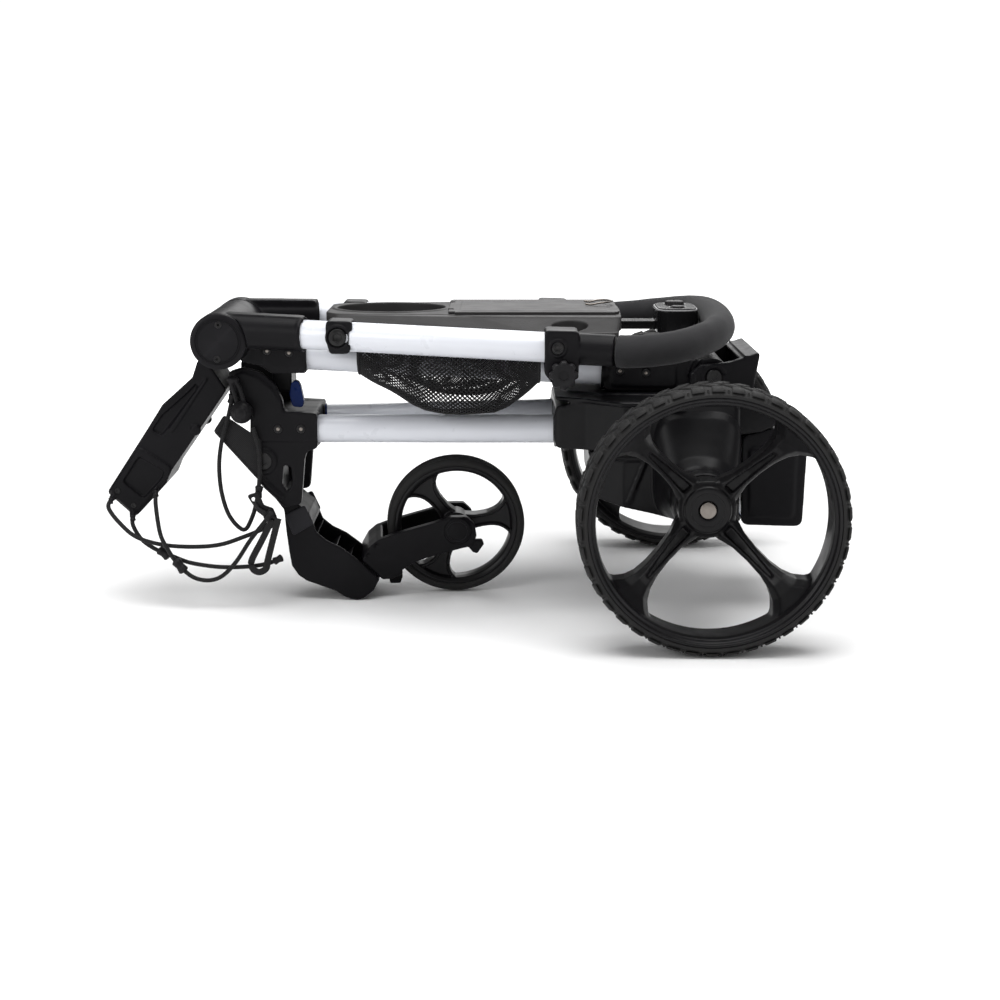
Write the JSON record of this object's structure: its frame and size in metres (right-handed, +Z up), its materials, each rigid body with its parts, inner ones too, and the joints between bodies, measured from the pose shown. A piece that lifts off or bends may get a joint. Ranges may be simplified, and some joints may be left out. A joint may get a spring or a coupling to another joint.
{
  "type": "folded golf trolley",
  "caption": "Three-wheeled electric golf trolley folded flat: three stacked frame layers with a foam handle loop, console, net pocket, drive housing, battery and swivelling front wheel.",
  "frame": {"origin": "on the floor, below the centre of the folded trolley's bounding box", "axes": "+X towards the driven rear wheels, +Z up, +Y across the trolley, from the side with the near labels to the side with the far labels"},
  "size_m": [0.86, 0.615, 0.3631],
  "materials": {
    "satin_black_plastic": "satin warm dark grey to black glass-filled nylon",
    "console_grey_plastic": "fine-textured dark grey plastic",
    "gloss_white_paint": "gloss white powder coat on aluminium tube",
    "tyre_rubber": "matt black rubber",
    "grip_foam": "closed-cell foam",
    "brushed_steel": "turned steel",
    "blue_plastic": "semi-gloss blue plastic",
    "black_net": "knitted polyester net and woven webbing",
    "elastic_cord": "braided elastic cord",
    "circuit_board": "green solder mask",
    "battery_cells": "shrink-wrapped cells"
  },
  "bodies": {
    "chassis": {"lower_tube_near": "gloss_white_paint", "lower_tube_far": "gloss_white_paint", "front_casting": "satin_black_plastic", "arm_pivot_pin": "brushed_steel", "housing_upper": "satin_black_plastic", "housing_lower": "satin_black_plastic", "hinge_bracket": "satin_black_plastic", "rear_hinge_pin": "brushed_steel", "gearbox_near": "satin_black_plastic", "gearbox_far": "satin_black_plastic", "bearing_near": "brushed_steel", "bearing_far": "brushed_steel", "motor_near": "brushed_steel", "motor_far": "brushed_steel", "control_board": "circuit_board"},
    "rear_wheel_near": {"rim_near": "satin_black_plastic", "tyre_near": "tyre_rubber", "axle_near": "brushed_steel"},
    "rear_wheel_far": {"rim_far": "satin_black_plastic", "tyre_far": "tyre_rubber", "axle_far": "brushed_steel"},
    "middle_frame": {"middle_tube_near": "gloss_white_paint", "middle_tube_far": "gloss_white_paint", "middle_head": "satin_black_plastic", "middle_heel": "satin_black_plastic", "upper_hinge_pin": "satin_black_plastic"},
    "handle_frame": {"handle_arm_near": "satin_black_plastic", "handle_arm_far": "satin_black_plastic", "handle_tube_near": "gloss_white_paint", "handle_tube_far": "gloss_white_paint", "front_clamp": "satin_black_plastic", "rear_clamp": "satin_black_plastic", "foam_grip": "grip_foam", "control_pod": "satin_black_plastic", "console_tray": "satin_black_plastic", "net_basket": "black_net"},
    "console_lid": {"console_lid": "console_grey_plastic", "card_clip": "brushed_steel"},
    "knob_near": {"knob_near": "satin_black_plastic"},
    "knob_far": {"knob_far": "satin_black_plastic"},
    "speed_dial": {"speed_dial": "console_grey_plastic"},
    "power_button": {"power_button": "blue_plastic"},
    "bag_cradle": {"bag_cradle": "satin_black_plastic", "cord_outer": "elastic_cord", "cord_lower": "elastic_cord", "cord_long": "elastic_cord", "cord_loop": "elastic_cord", "ball_toggle": "console_grey_plastic", "strap_tab": "black_net"},
    "front_arm": {"front_arm_shell": "satin_black_plastic", "arm_band": "console_grey_plastic"},
    "fork": {"fork": "satin_black_plastic", "front_axle": "brushed_steel"},
    "swivel_lever": {"swivel_lever": "satin_black_plastic"},
    "front_wheel": {"front_rim": "satin_black_plastic", "front_tyre": "tyre_rubber"},
    "latch_lever": {"latch_lever": "blue_plastic"},
    "battery": {"battery_case": "satin_black_plastic", "battery_cells": "battery_cells"},
    "battery_button": {"battery_button": "blue_plastic"}
  },
  "joints": [
    {"name": "mid_fold", "type": "hinge", "parent": "chassis", "child": "middle_frame", "pos_m": [0.3, 0, 0.28], "axis": [0, 1, 0], "range_deg": [0, 110]},
    {"name": "handle_fold", "type": "hinge", "parent": "middle_frame", "child": "handle_frame", "pos_m": [-0.281, 0, 0.3255], "axis": [0, -1, 0], "range_deg": [0, 165]},
    {"name": "arm_fold", "type": "hinge", "parent": "chassis", "child": "front_arm", "pos_m": [-0.237, 0, 0.176], "axis": [0, 1, 0], "range_deg": [0, 135]},
    {"name": "cradle_fold", "type": "hinge", "parent": "middle_frame", "child": "bag_cradle", "pos_m": [-0.3065, 0, 0.2933], "axis": [0, 1, 0], "range_deg": [0, 34]},
    {"name": "rear_wheel_near_spin", "type": "hinge", "parent": "chassis", "child": "rear_wheel_near", "pos_m": [0.28, -0.275, 0.15], "axis": [0, 1, 0], "continuous": true},
    {"name": "rear_wheel_far_spin", "type": "hinge", "parent": "chassis", "child": "rear_wheel_far", "pos_m": [0.28, 0.275, 0.15], "axis": [0, 1, 0], "continuous": true},
    {"name": "fork_swivel", "type": "hinge", "parent": "front_arm", "child": "fork", "pos_m": [-0.1135, 0, 0.0375], "axis": [0.7071, 0, 0.7071], "range_deg": [-95, 95]},
    {"name": "front_wheel_spin", "type": "hinge", "parent": "fork", "child": "front_wheel", "pos_m": [-0.00815, 0.00414, 0.08715], "axis": [-0.0739, 0.9945, 0.0739], "continuous": true},
    {"name": "swivel_lever_turn", "type": "hinge", "parent": "fork", "child": "swivel_lever", "pos_m": [-0.08062, 0.00325, 0.02662], "axis": [-0.0739, 0.9945, 0.0739], "range_deg": [-20, 0]},
    {"name": "latch_turn", "type": "hinge", "parent": "chassis", "child": "latch_lever", "pos_m": [-0.197, -0.04, 0.2375], "axis": [0, 1, 0], "range_deg": [0, 20], "stiffness_Nm_per_rad": 0.25, "springref_deg": -8.59},
    {"name": "battery_slide", "type": "slide", "parent": "chassis", "child": "battery", "axis": [1, 0, 0], "range_m": [0, 0.12]},
    {"name": "battery_button_press", "type": "slide", "parent": "battery", "child": "battery_button", "axis": [0, 0, -1], "range_m": [0, 0.0025], "stiffness_N_per_m": 800, "springref_m": -0.001},
    {"name": "lid_open", "type": "hinge", "parent": "handle_frame", "child": "console_lid", "pos_m": [0.087, 0.0785, 0.3582], "axis": [-1, 0, 0], "range_deg": [0, 100]},
    {"name": "knob_near_turn", "type": "hinge", "parent": "handle_frame", "child": "knob_near", "pos_m": [0.118, -0.21, 0.3], "axis": [0, 1, 0], "continuous": true},
    {"name": "knob_far_turn", "type": "hinge", "parent": "handle_frame", "child": "knob_far", "pos_m": [0.118, 0.21, 0.3], "axis": [0, 1, 0], "continuous": true},
    {"name": "dial_turn", "type": "hinge", "parent": "handle_frame", "child": "speed_dial", "pos_m": [0.262, 0.036, 0.354], "axis": [0, 0, 1], "range_deg": [-150, 150]},
    {"name": "button_press", "type": "slide", "parent": "handle_frame", "child": "power_button", "axis": [0, 0, -1], "range_m": [0, 0.002], "stiffness_N_per_m": 400, "springref_m": -0.001}
  ],
  "couplings": [
    {"joint": "handle_fold", "follows": "mid_fold", "ratio": 1.5},
    {"joint": "arm_fold", "follows": "mid_fold", "ratio": 1.2273}
  ]
}
